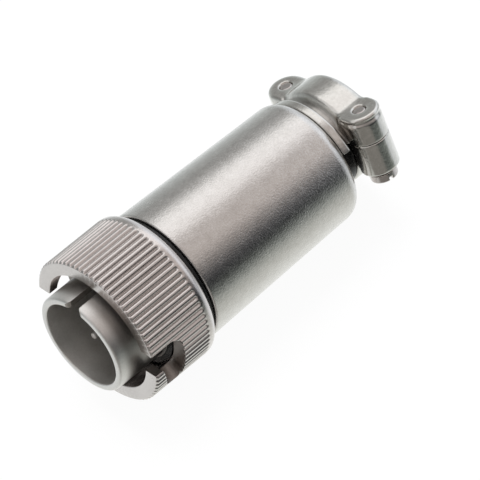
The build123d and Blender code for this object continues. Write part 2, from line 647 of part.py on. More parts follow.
def clamp_bush():
    """Rubber bush between the cable and the two halves of the clamp."""
    return sleeve(SADDLE_STEP + SEAT_CLEARANCE, BUSH_LIP_FRONT - SEAT_CLEARANCE, BUSH_BORE_RADIUS,
                  BUSH_RADIUS - SEAT_CLEARANCE)


def clamp_screw(side, slot_angle):
    """Slotted clamp screw, put in from below with its end just inside the ear."""
    bottom = HEAD_TOP - HEAD_HEIGHT
    head = ear_rod(HEAD_RADIUS, bottom, HEAD_TOP, side)
    head = fillet(head.edges().group_by(Axis.Z)[0], HEAD_EDGE_ROUND)
    shank = ear_rod(SCREW_RADIUS, HEAD_TOP, SCREW_END, side)
    shank = chamfer(shank.edges().group_by(Axis.Z)[-1], SCREW_TIP_CHAMFER)
    slot = Pos(EAR_CENTRE_X, side * EAR_SIDE, bottom) * Rot(0, 0, slot_angle) * Box(
        HEAD_SLOT_WIDTH, 2 * HEAD_RADIUS + CLEAR_CUT, 2 * HEAD_SLOT_DEPTH
    )
    return CLAMP_TURN * (head + shank - slot)


def lock_washer(side):
    """Split spring washer under a screw's head."""
    top = BOSS_BOTTOM - SEAT_CLEARANCE
    bottom = top - LOCK_WASHER_THICKNESS
    hole = ear_rod(SCREW_RADIUS + SCREW_HOLE_CLEARANCE / 2, bottom - CLEAR_CUT, top + CLEAR_CUT, side)
    washer = ear_rod(LOCK_WASHER_RADIUS, bottom, top, side) - hole
    gap = Pos(EAR_CENTRE_X, side * (EAR_SIDE + LOCK_WASHER_RADIUS), (top + bottom) / 2) * Box(
        LOCK_WASHER_GAP, 2 * LOCK_WASHER_RADIUS, 2 * LOCK_WASHER_THICKNESS
    )
    return CLAMP_TURN * (washer - gap)


def main():
    os.makedirs("parts", exist_ok=True)
    pieces = {
        "plug_shell": plug_shell(),
        "front_insulator": front_insulator(),
        "rear_insulator": rear_insulator(),
        "insert_retaining_ring": insert_retaining_ring(),
        "coupling_ring": coupling_ring(),
        "interface_gasket": interface_gasket(),
        "thrust_washer": thrust_washer(),
        "neck_seal_ring": neck_seal_ring(),
        "back_shell": back_shell(),
        "cable_grommet": cable_grommet(),
        "grommet_washer": grommet_washer(),
        "neck_sleeve": neck_sleeve(),
        "clamp_body": clamp_body(),
        "clamp_saddle": clamp_saddle(),
        "clamp_bush": clamp_bush(),
    }
    for number, place in enumerate(contact_places(), start=1):
        pieces[f"contact_pin_{number}"] = place * contact_pin()
    for number, (side, slot_angle) in enumerate(zip((1, -1), HEAD_SLOT_ANGLES), start=1):
        pieces[f"clamp_screw_{number}"] = clamp_screw(side, slot_angle)
        pieces[f"lock_washer_{number}"] = lock_washer(side)
    for name, shape in pieces.items():
        export_step(shape, f"parts/{name}.step")


main()
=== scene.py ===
# %% [markdown]
# # A circular cable plug with a knurled bayonet ring
#
# This lesson dresses a small nickel-plated cable plug. The CAD solids are packed already and stay the
# fixed frame: they say where every piece is and how it moves. Blender gives them finer shapes and real
# finishes. Shapes are given in millimetres in the plug's own frame, where +X runs along the axis from the
# mating rim to the cable outlet and +Z is up. Lamps and finishes are given in metres.

# %% Load the fixed frame
from math import atan2, cos, degrees, pi, radians, sin, tan

import bmesh
import bpy
from mathutils import Matrix, Vector


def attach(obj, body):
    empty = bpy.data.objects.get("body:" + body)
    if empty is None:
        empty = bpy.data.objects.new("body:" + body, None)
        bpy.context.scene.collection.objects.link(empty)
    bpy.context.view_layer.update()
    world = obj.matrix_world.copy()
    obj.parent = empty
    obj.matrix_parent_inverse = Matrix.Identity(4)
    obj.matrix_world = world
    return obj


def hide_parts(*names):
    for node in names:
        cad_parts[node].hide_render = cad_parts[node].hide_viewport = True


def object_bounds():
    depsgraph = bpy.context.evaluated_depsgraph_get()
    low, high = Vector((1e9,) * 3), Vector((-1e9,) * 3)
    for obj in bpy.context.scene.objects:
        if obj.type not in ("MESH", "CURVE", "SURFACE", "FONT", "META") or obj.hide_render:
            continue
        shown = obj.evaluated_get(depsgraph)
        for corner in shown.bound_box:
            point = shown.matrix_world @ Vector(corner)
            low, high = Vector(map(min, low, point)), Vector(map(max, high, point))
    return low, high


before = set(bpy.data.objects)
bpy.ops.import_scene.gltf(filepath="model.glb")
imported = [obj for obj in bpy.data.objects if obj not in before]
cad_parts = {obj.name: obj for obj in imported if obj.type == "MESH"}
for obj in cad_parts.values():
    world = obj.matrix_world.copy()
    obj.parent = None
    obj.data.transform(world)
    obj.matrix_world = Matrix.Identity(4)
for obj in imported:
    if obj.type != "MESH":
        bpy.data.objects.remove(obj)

cad_box = [list(corner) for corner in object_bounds()]
MM = 0.001
print("CAD box in mm:", [[round(value / MM, 2) for value in corner] for corner in cad_box])

# %% [markdown]
# ## The camera
#
# The plug is photographed from in front and above with a long lens. The circles of the coupling ring
# show as ellipses: how flat they are tells how far the axis leans out of the picture, and the direction
# of their short axes tells where the axis points in it. A camera could be placed by hand and nudged,
# but here its place is worked out from those two angles, the roll about the axis and the scale, so each
# number can be read and checked alone.

# %% Camera
IMAGE_SIDE = 480
FOCAL_PIXELS = 5000
PIXELS_PER_MM = 7.0
AXIS_DIRECTION = radians(39.23)
AXIS_LEAN = radians(64.99)
TOP_ROLL = radians(-123.58)
RIM_IN_PICTURE = (-159.30, 105.27)
SENSOR_WIDTH = 36.0

lean_sin, lean_cos = sin(AXIS_LEAN), cos(AXIS_LEAN)
across = Vector((sin(AXIS_DIRECTION), cos(AXIS_DIRECTION), 0))
axis_x = Vector((lean_sin * cos(AXIS_DIRECTION), -lean_sin * sin(AXIS_DIRECTION), lean_cos))
upright = Vector((-lean_cos * cos(AXIS_DIRECTION), lean_cos * sin(AXIS_DIRECTION), lean_sin))
axis_z = cos(TOP_ROLL) * across + sin(TOP_ROLL) * upright
axis_y = cos(TOP_ROLL - pi / 2) * across + sin(TOP_ROLL - pi / 2) * upright
rim = Vector((*RIM_IN_PICTURE, FOCAL_PIXELS)) / PIXELS_PER_MM * MM

turn = Matrix((
    (axis_x.x, -axis_x.y, -axis_x.z),
    (axis_y.x, -axis_y.y, -axis_y.z),
    (axis_z.x, -axis_z.y, -axis_z.z),
))
place = -Vector((axis_x.dot(rim), axis_y.dot(rim), axis_z.dot(rim)))
camera_data = bpy.data.cameras.new("picture_camera")
camera_data.sensor_width = SENSOR_WIDTH
camera_data.lens = SENSOR_WIDTH * FOCAL_PIXELS / IMAGE_SIDE
camera_data.clip_start, camera_data.clip_end = 0.01, 20
camera = bpy.data.objects.new("picture_camera", camera_data)
camera.matrix_world = Matrix.Translation(place) @ turn.to_4x4()
bpy.context.scene.collection.objects.link(camera)
bpy.context.scene.camera = camera
print("camera at", [round(value, 3) for value in place], "m, lens", round(camera_data.lens), "mm")

# %% [markdown]
# ## A light tent
#
# Shiny metal shows its surroundings, so a metal object is lit by choosing what it mirrors. The plug was
# photographed in a white tent: a broad lamp overhead, a white floor, and a dark gap low on the camera's
# side, which gives the long dark stripe along the back shell. Such a tent could be built from lit panels,
# but a world shader holds it in a few numbers: bands of brightness that turn about the plug's axis, a
# wall behind, a dimmer front and one grey card. Two area lamps light the plastics and rubber.

# %% Shader helpers
def link(tree, output, socket):
    tree.links.new(output, socket)


def feed(tree, value, socket):
    """Links a socket to another one's value, or sets it to a plain value."""
    if isinstance(value, bpy.types.NodeSocket):
        link(tree, value, socket)
    else:
        socket.default_value = value


def add_node(tree, kind, settings=(), **values):
    """A new node; settings are its properties, and values fill inputs by name, or by number as i0, i1."""
    node = tree.nodes.new(kind)
    for key, value in dict(settings).items():
        setattr(node, key, value)
    for key, value in values.items():
        name = key.replace("_", " ")
        socket = node.inputs[int(key[1:])] if key[0] == "i" and key[1:].isdigit() else node.inputs[name]
        feed(tree, value, socket)
    return node


def math_node(tree, operation, *values):
    """The result of a Math node on two or three values."""
    node = add_node(tree, "ShaderNodeMath", {"operation": operation})
    for value, socket in zip(values, node.inputs):
        feed(tree, value, socket)
    return node.outputs[0]


def ramp_node(tree, factor, stops):
    """A colour ramp from (position, colour) stops."""
    node = add_node(tree, "ShaderNodeValToRGB", i0=factor)
    node.color_ramp.interpolation = "LINEAR"
    elements = node.color_ramp.elements
    while len(elements) < len(stops):
        elements.new(0.5)
    for element, (position, value) in zip(elements, stops):
        element.position = position
        element.color = (*value, 1)
    return node.outputs["Color"]


# %% The tent's brightness, seen by mirror reflections
# Each band gives an angle in degrees about +X, from -Y over +Z, and the colour there.
TENT_BANDS = [
    (-180, (0.45, 0.47, 0.465)),
    (-164, (0.53, 0.56, 0.56)),
    (-148, (0.90, 0.94, 0.95)),
    (-130, (1.08, 1.11, 1.11)),
    (-108, (0.97, 0.98, 0.96)),
    (-76, (0.85, 0.87, 0.845)),
    (-44, (0.60, 0.61, 0.58)),
    (-26, (0.42, 0.44, 0.415)),
    (-15, (0.17, 0.19, 0.18)),
    (-6, (0.05, 0.055, 0.05)),
    (2, (0.004, 0.005, 0.007)),
    (12, (0.03, 0.031, 0.035)),
    (20, (0.09, 0.09, 0.095)),
    (36, (0.275, 0.25, 0.24)),
    (52, (0.59, 0.535, 0.51)),
    (84, (0.56, 0.515, 0.50)),
    (98, (1.10, 1.07, 1.07)),
    (130, (1.14, 1.13, 1.13)),
    (142, (0.45, 0.45, 0.445)),
    (164, (0.30, 0.30, 0.295)),
    (180, (0.45, 0.47, 0.465)),
]
AMBIENT = 0.75
FRONT_DIMMING, FRONT_SPREAD = 0.30, (-0.05, -0.40)
REAR_WALL, REAR_MIDDLE, MIDDLE_START = (1.00, 1.05, 1.12), (0.45, 0.48, 0.52), 0.90
REAR_SHARE, REAR_SPREAD = 0.80, (0.52, 0.74)
FOOT_SHARE, FOOT_SPREAD = 0.6, (0.05, 0.35)
GREY_CARD, CARD_DIRECTION, CARD_SPREAD = (0.235, 0.225, 0.21), (-0.62, -0.72, -0.31), (0.78, 0.90)

# %% Helpers for colours and shares
def mixed_colour(tree, factor, first, second):
    """Goes from the first colour to the second as the factor goes from 0 to 1."""
    node = add_node(tree, "ShaderNodeMix", {"data_type": "RGBA"}, i0=factor)
    ends = [socket for socket in node.inputs if socket.type == "RGBA"]
    for socket, value in zip(ends, (first, second)):
        feed(tree, value if isinstance(value, bpy.types.NodeSocket) else (*value, 1), socket)
    return [socket for socket in node.outputs if socket.type == "RGBA"][0]


def scaled(tree, value, low, high, new_low, new_high):
    """Maps low..high to new_low..new_high."""
    return add_node(tree, "ShaderNodeMapRange", i0=value, i1=low, i2=high, i3=new_low,
                    i4=new_high).outputs[0]


def smooth_share(tree, value, none_at, all_at):
    """A share that rises smoothly from 0 to 1 between two values."""
    return add_node(tree, "ShaderNodeMapRange", {"interpolation_type": "SMOOTHSTEP"},
                    i0=value, i1=none_at, i2=all_at).outputs[0]


# %% The world that holds the tent
world = bpy.data.worlds.new("light_tent")
bpy.context.scene.world = world
world.use_nodes = True
tree = world.node_tree
tree.nodes.clear()
direction = add_node(tree, "ShaderNodeTexCoord").outputs["Generated"]
split = add_node(tree, "ShaderNodeSeparateXYZ", i0=direction).outputs
around = math_node(tree, "ARCTAN2", split["Z"], math_node(tree, "MULTIPLY", split["Y"], -1.0))
turn_share = math_node(tree, "MULTIPLY_ADD", around, 1 / (2 * pi), 0.5)
band = ramp_node(tree, turn_share, [((angle + 180) / 360, colour) for angle, colour in TENT_BANDS])
in_front = math_node(tree, "MULTIPLY", smooth_share(tree, split["X"], *FRONT_SPREAD), FRONT_DIMMING)
with_front = mixed_colour(tree, in_front, band, (0.0, 0.0, 0.0))
rear_wall = ramp_node(tree, split["X"], [(MIDDLE_START, REAR_WALL), (1.0, REAR_MIDDLE)])
wall_height = scaled(tree, split["Z"], *FOOT_SPREAD, FOOT_SHARE * REAR_SHARE, REAR_SHARE)
behind = math_node(tree, "MULTIPLY", smooth_share(tree, split["X"], *REAR_SPREAD), wall_height)
with_rear = mixed_colour(tree, behind, with_front, rear_wall)
towards_card = add_node(tree, "ShaderNodeVectorMath", {"operation": "DOT_PRODUCT"}, i0=direction,
                        i1=CARD_DIRECTION).outputs["Value"]
tent_colour = mixed_colour(tree, smooth_share(tree, towards_card, *CARD_SPREAD), with_rear, GREY_CARD)
path = add_node(tree, "ShaderNodeLightPath").outputs
ambient_light = add_node(tree, "ShaderNodeBackground", Color=(1, 1, 1, 1), Strength=AMBIENT).outputs[0]
mirrored = add_node(tree, "ShaderNodeBackground", Color=tent_colour, Strength=1.0).outputs[0]
backdrop = add_node(tree, "ShaderNodeBackground", Color=(1, 1, 1, 1), Strength=1.0).outputs[0]
for_mirrors = add_node(tree, "ShaderNodeMixShader", i0=path["Is Glossy Ray"], i1=ambient_light, i2=mirrored)
seen = math_node(tree, "MAXIMUM", path["Is Camera Ray"], path["Is Transmission Ray"])
for_camera = add_node(tree, "ShaderNodeMixShader", i0=seen, i1=for_mirrors.outputs[0], i2=backdrop)
output = add_node(tree, "ShaderNodeOutputWorld")
link(tree, for_camera.outputs[0], output.inputs["Surface"])
print("the tent has", len(TENT_BANDS), "bands of brightness")

# %% Two soft lamps
def soft_lamp(name, direction, distance, side, watts):
    """A square lamp facing the plug's middle, which no mirror reflection shows."""
    data = bpy.data.lights.new(name, "AREA")
    data.shape, data.size, data.energy = "SQUARE", side, watts
    lamp = bpy.data.objects.new(name, data)
    middle = (Vector(cad_box[0]) + Vector(cad_box[1])) / 2
    towards = Vector(direction).normalized()
    lamp.location = middle + towards * distance
    lamp.rotation_mode = "QUATERNION"
    lamp.rotation_quaternion = towards.to_track_quat("Z", "Y")
    lamp.visible_glossy = lamp.visible_camera = False
    bpy.context.scene.collection.objects.link(lamp)
    print(f"{name}: {watts} W")


soft_lamp("overhead_box", (0.1, 0.45, 0.9), distance=0.55, side=0.40, watts=3.2)
soft_lamp("front_box", (-0.6, -0.7, 0.5), distance=0.60, side=0.45, watts=1.0)

# %% [markdown]
# ## The floor
#
# The background of the picture is pure white with hardly a shadow. More light could bleach the floor, but
# it would bleach the plug too. So the white plane under the plug glows for the camera alone and keeps a
# faint contact shadow. It leans slightly, because the plug is thicker at its ring than at the rear of
# its back shell and so lies at an angle on a table.

# %% Floor
# The floor passes under these two (x, z) places, one on the ring and one near the back shell's rear edge.
FLOOR_FRONT, FLOOR_REAR = (14.3, -12.24), (46.3, -10.2)
FLOOR_GAP, FLOOR_SIDE_METRES = 0.02, 3.0
SHADOW_SHARE, WHITE_FLOOR = 0.07, (0.85, 0.85, 0.85, 1)

slope = atan2(FLOOR_REAR[1] - FLOOR_FRONT[1], FLOOR_REAR[0] - FLOOR_FRONT[0])
floor_mesh = bpy.data.meshes.new("floor")
half_side = FLOOR_SIDE_METRES / 2
floor_mesh.from_pydata(
    [(FLOOR_FRONT[0] * MM + along * half_side * cos(slope), aside * half_side,
      (FLOOR_FRONT[1] - FLOOR_GAP) * MM + along * half_side * sin(slope))
     for along, aside in ((-1, -1), (1, -1), (1, 1), (-1, 1))],
    [], [(0, 1, 2, 3)])
floor = bpy.data.objects.new("floor", floor_mesh)
bpy.context.scene.collection.objects.link(floor)
floor.visible_glossy = False
floor_paint = bpy.data.materials.new("white_floor")
floor_paint.use_nodes = True
tree = floor_paint.node_tree
tree.nodes.clear()
lit = add_node(tree, "ShaderNodeBsdfDiffuse", Color=WHITE_FLOOR).outputs[0]
glow = add_node(tree, "ShaderNodeEmission", Color=(1, 1, 1, 1), Strength=1.0).outputs[0]
path = add_node(tree, "ShaderNodeLightPath").outputs
bright_share = math_node(tree, "MULTIPLY", path["Is Camera Ray"], 1 - SHADOW_SHARE)
surface = add_node(tree, "ShaderNodeMixShader", i0=bright_share, i1=lit, i2=glow).outputs[0]
under = add_node(tree, "ShaderNodeNewGeometry").outputs["Backfacing"]
clear = add_node(tree, "ShaderNodeBsdfTransparent").outputs[0]
both = add_node(tree, "ShaderNodeMixShader", i0=under, i1=surface, i2=clear).outputs[0]
output = add_node(tree, "ShaderNodeOutputMaterial")
link(tree, both, output.inputs["Surface"])
floor_mesh.materials.append(floor_paint)
print("floor leans", round(degrees(slope), 2), "degrees")

# %% [markdown]
# ## Shared effects
#
# Every metal here has two things in common: a fine grain, and edges rubbed bright by handling. Both could
# be painted into each material, but a node group made once keeps them alike. The grain group gives a
# value and a height for the bump. The edge group compares the true normal with one that a Bevel node has
# rounded off: where they differ there is an edge. The recess group finds the bottoms of grooves, where a
# painted shade darkens the colour. The groove group marks a band about the plug's axis, for a painted
# shade in the clamp's groove and at the barrel's root.

# %% Grain group
def new_group(name, inputs, outputs):
    """A shader group with named inputs, given as (name, kind, start value), and named outputs."""
    group = bpy.data.node_groups.new(name, "ShaderNodeTree")
    for label, kind, value in inputs:
        socket = group.interface.new_socket(label, in_out="INPUT", socket_type=kind)
        if value is not None:
            socket.default_value = value
    for label, kind in outputs:
        group.interface.new_socket(label, in_out="OUTPUT", socket_type=kind)
    return group, group.nodes.new("NodeGroupInput").outputs, group.nodes.new("NodeGroupOutput").inputs


FLOAT, VECTOR = "NodeSocketFloat", "NodeSocketVector"

grain_group, given, result = new_group(
    "fine_grain",
    [("Vector", VECTOR, None), ("Grain Size", FLOAT, 0.0003), ("Mottle Size", FLOAT, 0.003),
     ("Mottle Share", FLOAT, 0.3)],
    [("Value", FLOAT), ("Height", FLOAT)])
fine_scale = math_node(grain_group, "DIVIDE", 1.0, given["Grain Size"])
broad_scale = math_node(grain_group, "DIVIDE", 1.0, given["Mottle Size"])
fine = add_node(grain_group, "ShaderNodeTexNoise", Vector=given["Vector"], Scale=fine_scale, Detail=3.0,
                Roughness=0.6).outputs["Fac"]
broad = add_node(grain_group, "ShaderNodeTexNoise", Vector=given["Vector"], Scale=broad_scale, Detail=2.0,
                 Roughness=0.5).outputs["Fac"]
blend = add_node(grain_group, "ShaderNodeMix", {"data_type": "FLOAT"}, i0=given["Mottle Share"])
link(grain_group, fine, blend.inputs[2])
link(grain_group, broad, blend.inputs[3])
link(grain_group, blend.outputs[0], result["Value"])
link(grain_group, fine, result["Height"])
print("made", grain_group.name)

# %% Edge and recess groups
BEVEL_SAMPLES, RECESS_SAMPLES = 6, 8

edge_group, given, result = new_group(
    "worn_edges",
    [("Width", FLOAT, 0.0002), ("Start", FLOAT, 0.01), ("Full", FLOAT, 0.2)],
    [("Mask", FLOAT)])
bevel = add_node(edge_group, "ShaderNodeBevel", {"samples": BEVEL_SAMPLES}, Radius=given["Width"])
normal = add_node(edge_group, "ShaderNodeNewGeometry").outputs["Normal"]
facing = add_node(edge_group, "ShaderNodeVectorMath", {"operation": "DOT_PRODUCT"},
                  i0=bevel.outputs[0], i1=normal).outputs["Value"]
turned_away = math_node(edge_group, "SUBTRACT", 1.0, facing)
mask = add_node(edge_group, "ShaderNodeMapRange", i0=turned_away, i1=given["Start"], i2=given["Full"])
link(edge_group, mask.outputs[0], result["Mask"])

# Painted shade: this mask darkens the colour at the bottoms of grooves and other recesses.
recess_shade_group, given, result = new_group(
    "painted_recess_shade",
    [("Reach", FLOAT, 0.0015), ("Open", FLOAT, 0.8), ("Closed", FLOAT, 0.3)],
    [("Mask", FLOAT)])
openness = add_node(recess_shade_group, "ShaderNodeAmbientOcclusion",
                    {"samples": RECESS_SAMPLES, "only_local": True}, Distance=given["Reach"]).outputs["AO"]
mask = add_node(recess_shade_group, "ShaderNodeMapRange", i0=openness, i1=given["Open"], i2=given["Closed"])
link(recess_shade_group, mask.outputs[0], result["Mask"])
print("made", edge_group.name, "and", recess_shade_group.name)

# %% Groove group
# Painted shade: this mask darkens the colour in a band about the plug's axis.
band_shade_group, given, result = new_group(
    "painted_band_shade",
    [("Front", FLOAT, 0.0), ("Rear", FLOAT, 0.0), ("Inner", FLOAT, 0.0), ("Outer", FLOAT, 0.01),
     ("Blur", FLOAT, 0.0002)],
    [("Mask", FLOAT)])
place_here = add_node(band_shade_group, "ShaderNodeTexCoord").outputs["Object"]
parts = add_node(band_shade_group, "ShaderNodeSeparateXYZ", i0=place_here).outputs
flat_part = add_node(band_shade_group, "ShaderNodeCombineXYZ", Y=parts["Y"], Z=parts["Z"]).outputs[0]
from_axis = add_node(band_shade_group, "ShaderNodeVectorMath", {"operation": "LENGTH"},
                     i0=flat_part).outputs["Value"]


def edge_share(value, edge, operation):
    """Rises from 0 at one of the band's edges to 1 a blur further in."""
    full_at = math_node(band_shade_group, operation, given[edge], given["Blur"])
    return smooth_share(band_shade_group, value, given[edge], full_at)


both_ends = math_node(band_shade_group, "MULTIPLY", edge_share(parts["X"], "Front", "ADD"),
                      edge_share(parts["X"], "Rear", "SUBTRACT"))
both_sides = math_node(band_shade_group, "MULTIPLY", edge_share(from_axis, "Outer", "SUBTRACT"),
                       edge_share(from_axis, "Inner", "ADD"))
link(band_shade_group, math_node(band_shade_group, "MULTIPLY", both_ends, both_sides), result["Mask"])
print("made", band_shade_group.name)

# %% [markdown]
# ## Finishes
#
# The plug's nickel has several finishes: bead-blasted on the back shell, satin on the coupling ring and
# darker and rougher where its slots are milled, smooth and cast on the clamp, and almost matt on the
# barrel. Each could be a material of its own, but one function builds them all from the shared groups,
# so that they differ in a few numbers only. The plastic and rubber are dielectric, so their colour comes
# from the lamps.

# %% Builder for metals
GRAIN_SPREAD = (0.3, 0.7)
GRAIN_HEIGHT, POLISH = 0.3, 1.12
# Two painted shades: a brown-grey one for bands about the axis, and a near-black one for the bottoms of
# recesses.
BAND_SHADE, RECESS_SHADE = (0.10, 0.078, 0.062), (0.02, 0.017, 0.015)


def place_group(tree, group, **values):
    """Places a shared group in a material and fills its named inputs."""
    return add_node(tree, "ShaderNodeGroup", {"node_tree": group}, **values).outputs


def new_material(name):
    """A material with its tree, its shader and the place of each point in the piece."""
    material = bpy.data.materials.new(name)
    material.use_nodes = True
    tree = material.node_tree
    coordinates = add_node(tree, "ShaderNodeTexCoord").outputs["Object"]
    return material, tree, tree.nodes["Principled BSDF"], coordinates


def metal(name, dark, light, roughness, grain_size, bump, edge_width=0.00015, edge_gloss=0.1,
          mottle_size=0.004, mottle_share=0.35, rounding=0.0001, recess_reach=0.001, recess_share=0.0,
          shade_bands=()):
    """Plated metal: grain in its colour, gloss and surface, brighter and smoother edges, painted shade in
    recesses.

    Each shade band is a painted shade about the axis: its front, rear, inner radius, outer radius and blur
    in metres, and how much of the shade shows.
    """
    material, tree, shader, coordinates = new_material(name)
    grain = place_group(tree, grain_group, Vector=coordinates, Grain_Size=grain_size,
                        Mottle_Size=mottle_size, Mottle_Share=mottle_share)
    edges = place_group(tree, edge_group, Width=edge_width)["Mask"]
    body = mixed_colour(tree, scaled(tree, grain["Value"], *GRAIN_SPREAD, 0, 1), dark, light)
    polished = tuple(min(1, channel * POLISH) for channel in light)
    # Painted shade: the bottoms of recesses are darkened towards a near-black colour.
    recess_shade_mask = place_group(tree, recess_shade_group, Reach=recess_reach)["Mask"]
    shaded_body = mixed_colour(tree, math_node(tree, "MULTIPLY", recess_shade_mask, recess_share), body, RECESS_SHADE)
    # Painted shade: each band about the axis darkens the colour further.
    for front, rear, inner, outer, blur, share in shade_bands:
        band = place_group(tree, band_shade_group, Front=front, Rear=rear, Inner=inner, Outer=outer,
                           Blur=blur)["Mask"]
        shaded_body = mixed_colour(tree, math_node(tree, "MULTIPLY", band, share), shaded_body, BAND_SHADE)
    link(tree, mixed_colour(tree, edges, shaded_body, polished), shader.inputs["Base Color"])
    rough = scaled(tree, grain["Value"], *GRAIN_SPREAD, *roughness)
    link(tree, math_node(tree, "MULTIPLY_ADD", edges, -edge_gloss, rough), shader.inputs["Roughness"])
    shader.inputs["Metallic"].default_value = 1.0
    soft_edge = add_node(tree, "ShaderNodeBevel", {"samples": BEVEL_SAMPLES}, Radius=rounding).outputs[0]
    surface = add_node(tree, "ShaderNodeBump", Strength=bump, Distance=grain_size * GRAIN_HEIGHT,
                       Height=grain["Height"], Normal=soft_edge)
    link(tree, surface.outputs[0], shader.inputs["Normal"])
    return material


# %% Builder for plastic and rubber
def moulded(name, dark, light, roughness, grain_size, bump, specular=0.5, mottle_size=0.003,
            mottle_share=0.4):
    """Plastic or rubber with a faint moulded skin."""
    material, tree, shader, coordinates = new_material(name)
    grain = place_group(tree, grain_group, Vector=coordinates, Grain_Size=grain_size,
                        Mottle_Size=mottle_size, Mottle_Share=mottle_share)
    share = scaled(tree, grain["Value"], *GRAIN_SPREAD, 0, 1)
    link(tree, mixed_colour(tree, share, dark, light), shader.inputs["Base Color"])
    link(tree, scaled(tree, grain["Value"], *GRAIN_SPREAD, *roughness), shader.inputs["Roughness"])
    shader.inputs["Specular IOR Level"].default_value = specular
    surface = add_node(tree, "ShaderNodeBump", Strength=bump, Distance=grain_size * GRAIN_HEIGHT,
                       Height=grain["Height"])
    link(tree, surface.outputs[0], shader.inputs["Normal"])
    return material


# %% The finishes
# The numbers are: dark and light colour, roughness, grain size in metres and strength of the bump.
blasted_nickel = metal("blasted_nickel", (0.65, 0.63, 0.605), (0.83, 0.81, 0.785), (0.18, 0.28), 0.00026,
                       0.45, mottle_size=0.0011, mottle_share=0.4)
# The knurl's grooves get a painted shade from the recess mask.
ring_nickel = metal("ring_nickel", (0.66, 0.62, 0.60), (0.80, 0.76, 0.74), (0.18, 0.28), 0.00025, 0.15,
                    recess_reach=0.0009, recess_share=0.3)
# The slot faces are about half as bright as the ring's nickel, and rougher.
slot_nickel = metal("slot_nickel", (0.34, 0.31, 0.285), (0.45, 0.415, 0.39), (0.32, 0.42), 0.0003, 0.2)
# The clamp gets a painted shade in its recesses and in the groove between its flange and arch.
cast_nickel = metal("cast_nickel", (0.66, 0.645, 0.61), (0.80, 0.785, 0.75), (0.14, 0.24), 0.0006, 0.15,
                    edge_width=0.0003, recess_reach=0.0022, recess_share=0.2,
                    shade_bands=[(0.0486, 0.0505, 0.0, 0.0092, 0.0002, 0.45)])
# The barrel gets a painted shade next to and under the coupling ring.
barrel_nickel = metal("barrel_nickel", (0.75, 0.735, 0.71), (0.89, 0.875, 0.85), (0.37, 0.45), 0.0003, 0.12,
                      shade_bands=[(0.0009, 0.0110, 0.0066, 0.0110, 0.0016, 0.6)])
plated_steel = metal("plated_steel", (0.58, 0.54, 0.52), (0.74, 0.69, 0.67), (0.16, 0.28), 0.0003, 0.15)
contact_plating = metal("contact_plating", (0.88, 0.86, 0.83), (0.96, 0.94, 0.91), (0.5, 0.6), 0.0002, 0.08)
insulator_plastic = moulded("insulator_plastic", (0.020, 0.017, 0.015), (0.035, 0.029, 0.025), (0.42, 0.55),
                            0.0004, 0.2)
black_rubber = moulded("black_rubber", (0.004, 0.004, 0.004), (0.009, 0.009, 0.009), (0.22, 0.32), 0.0003,
                       0.15, specular=0.35)
print("materials so far:", [material.name for material in bpy.data.materials])

# %% [markdown]
# ## Turned pieces
#
# The back shell, barrel and seals are all turned on a lathe, so each is an outline of (place along the
# axis, radius) points spun about the axis. Sharp corners would look like paper, so the outline's corners
# are rounded with short arcs first. A Screw modifier could spin them too, but writing the rings of
# vertices directly leaves no seam to close.

# %% Rounded outlines
def round_outline(points, radii, steps=5):
    """Replaces corners of a closed outline by arcs; radii maps a corner's number to its radius."""
    made = []
    count = len(points)
    for number, corner in enumerate(points):
        radius = radii.get(number, 0)
        corner = Vector(corner)
        if not radius:
            made.append(tuple(corner))
            continue
        back = (Vector(points[number - 1]) - corner).normalized()
        ahead = (Vector(points[(number + 1) % count]) - corner).normalized()
        half = back.angle(ahead) / 2
        reach = radius / tan(half)
        centre = corner + (back + ahead).normalized() * (radius / sin(half))
        start = corner + back * reach - centre
        end = corner + ahead * reach - centre
        sweep = start.angle_signed(end)
        for step in range(steps + 1):
            turned = start.copy()
            turned.rotate(Matrix.Rotation(-sweep * step / steps, 2))
            made.append(tuple(centre + turned))
    return made


# %% Meshes from points
SMOOTH_ANGLE, MERGE_DISTANCE = radians(32), 1e-7
COLUMNS = 192


def mesh_object(name, vertices, faces, material):
    mesh = bpy.data.meshes.new(name)
    mesh.from_pydata([tuple(value * MM for value in vertex) for vertex in vertices], [], faces)
    piece = bpy.data.objects.new(name, mesh)
    bpy.context.scene.collection.objects.link(piece)
    mesh.materials.append(material)
    return piece


def tidy_mesh(piece):
    """Merges doubles, points the faces outwards and shades smooth across gentle edges."""
    mesh = piece.data
    form = bmesh.new()
    form.from_mesh(mesh)
    bmesh.ops.remove_doubles(form, verts=form.verts, dist=MERGE_DISTANCE)
    bmesh.ops.recalc_face_normals(form, faces=form.faces)
    form.to_mesh(mesh)
    form.free()
    mesh.shade_smooth()
    mesh.set_sharp_from_angle(angle=SMOOTH_ANGLE)
    return piece


def spun(name, outline, material):
    """Spins a closed outline of (x, radius) about the X axis."""
    count = len(outline)
    vertices = [
        (x, radius * sin(2 * pi * column / COLUMNS), radius * cos(2 * pi * column / COLUMNS))
        for column in range(COLUMNS) for x, radius in outline
    ]
    faces = []
    for column in range(COLUMNS):
        here, there = column * count, (column + 1) % COLUMNS * count
        for number in range(count):
            after = (number + 1) % count
            if outline[number][1] == 0 and outline[after][1] == 0:
                continue
            faces.append((here + number, here + after, there + after, there + number))
    return tidy_mesh(mesh_object(name, vertices, faces, material))


# %% Tools for finished pieces
def settled(piece):
    """Turns a piece with modifiers into a plain mesh."""
    depsgraph = bpy.context.evaluated_depsgraph_get()
    depsgraph.update()
    made = bpy.data.meshes.new_from_object(piece.evaluated_get(depsgraph), depsgraph=depsgraph)
    piece.modifiers.clear()
    old = piece.data
    piece.data = made
    bpy.data.meshes.remove(old)
    return tidy_mesh(piece)


